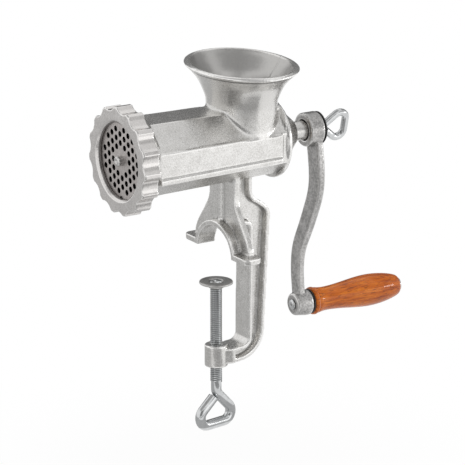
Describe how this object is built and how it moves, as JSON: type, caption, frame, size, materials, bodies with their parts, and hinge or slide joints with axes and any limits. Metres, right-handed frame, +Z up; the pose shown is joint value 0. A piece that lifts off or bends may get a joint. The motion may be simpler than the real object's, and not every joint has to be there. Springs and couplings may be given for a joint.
{
  "type": "hand crank meat grinder",
  "caption": "Cast table-clamp meat grinder with an oval hopper, scalloped ring nut, hole plate, feed screw, S-shaped crank with wooden grip and a looped clamp screw.",
  "frame": {"origin": "midway between the two clamp toes, on the plane where they sit on the table top", "axes": "+Z up, -Y towards the outlet and the table, +Y towards the crank, X across the toes"},
  "size_m": [0.1016, 0.2654, 0.2838],
  "materials": {
    "tinned_iron": "satin tin plating over a sand-cast skin",
    "plate_steel": "ground steel",
    "zinc_steel": "bright zinc plating",
    "disc_steel": "dull pressed steel",
    "black_steel": "blackened",
    "bronze": "plain turned",
    "varnished_wood": "gloss varnish over straight grain"
  },
  "bodies": {
    "housing": {"housing": "tinned_iron", "plate_key_pin": "plate_steel", "rear_bush": "bronze", "thrust_washer": "bronze"},
    "crank": {"auger": "tinned_iron", "knife_stud": "plate_steel", "cross_knife": "plate_steel", "crank_arm": "tinned_iron", "grip_spindle": "zinc_steel", "grip_washer": "black_steel", "grip_end_cap": "zinc_steel"},
    "grip": {"wood_grip": "varnished_wood"},
    "plate": {"hole_plate": "plate_steel"},
    "ring": {"ring_nut": "tinned_iron"},
    "clamp_pad": {"clamp_disc": "disc_steel"},
    "clamp_screw": {"clamp_screw": "zinc_steel"},
    "thumb_washer": {"crank_washer": "black_steel"},
    "thumb_screw": {"crank_screw": "zinc_steel"}
  },
  "joints": [
    {"name": "crank_turn", "type": "hinge", "parent": "housing", "child": "crank", "pos_m": [0, 0, 0.0835], "axis": [0, 1, 0], "continuous": true},
    {"name": "grip_turn", "type": "hinge", "parent": "crank", "child": "grip", "pos_m": [-0.018, 0.13, -0.0605], "axis": [0, 1, 0], "continuous": true},
    {"name": "ring_travel", "type": "slide", "parent": "housing", "child": "plate", "axis": [0, -1, 0], "range_m": [0, 0.0091]},
    {"name": "ring_nut_turn", "type": "hinge", "parent": "plate", "child": "ring", "pos_m": [0, -0.085, 0.0835], "axis": [0, -1, 0], "range_deg": [0, 1080]},
    {"name": "clamp_travel", "type": "slide", "parent": "housing", "child": "clamp_pad", "axis": [0, 0, 1], "range_m": [-0.0441, 0.0131]},
    {"name": "clamp_screw_turn", "type": "hinge", "parent": "clamp_pad", "child": "clamp_screw", "pos_m": [0, -0.006, -0.08], "axis": [0, 0, 1], "range_deg": [-10560, 3120]},
    {"name": "thumb_travel", "type": "slide", "parent": "crank", "child": "thumb_washer", "axis": [0, 1, 0], "range_m": [0, 0.0101]},
    {"name": "thumb_screw_turn", "type": "hinge", "parent": "thumb_washer", "child": "thumb_screw", "pos_m": [0, 0.09, 0.0835], "axis": [0, 1, 0], "range_deg": [0, 3600]}
  ],
  "couplings": [
    {"joint": "ring_travel", "follows": "ring_nut_turn", "m_per_rad": 0.00047746},
    {"joint": "clamp_travel", "follows": "clamp_screw_turn", "m_per_rad": 0.00023873},
    {"joint": "thumb_travel", "follows": "thumb_screw_turn", "m_per_rad": 0.00015915}
  ]
}
